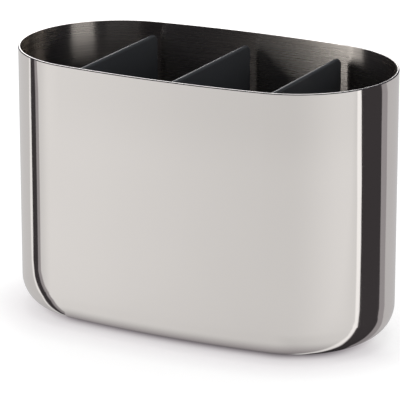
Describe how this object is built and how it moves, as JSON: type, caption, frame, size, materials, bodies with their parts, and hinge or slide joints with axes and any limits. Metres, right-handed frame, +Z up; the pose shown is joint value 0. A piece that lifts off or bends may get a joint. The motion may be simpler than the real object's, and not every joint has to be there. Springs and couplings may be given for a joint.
{
  "type": "toothbrush holder",
  "caption": "Oval open-topped steel cup for toothbrushes, with a lift-out plastic insert whose upright dividers and slotted floor make side-by-side compartments.",
  "frame": {"origin": "centre of the footprint, on the surface that the holder stands on", "axes": "+X along the long side, +Y towards the back, +Z up out of the open top"},
  "size_m": [0.182, 0.097, 0.125],
  "materials": {
    "steel": "finely brushed stainless steel sheet, bright outside",
    "silicone": "matt moulded silicone",
    "plastic": "satin moulded dark grey plastic"
  },
  "bodies": {
    "shell": {"steel_shell": "steel", "base_pad": "silicone"},
    "insert": {"insert_floor": "plastic", "divider_left": "plastic", "divider_centre": "plastic", "divider_right": "plastic"}
  },
  "joints": [
    {"name": "insert_lift", "type": "slide", "parent": "shell", "child": "insert", "axis": [0, 0, 1], "range_m": [0, 0.13]}
  ]
}
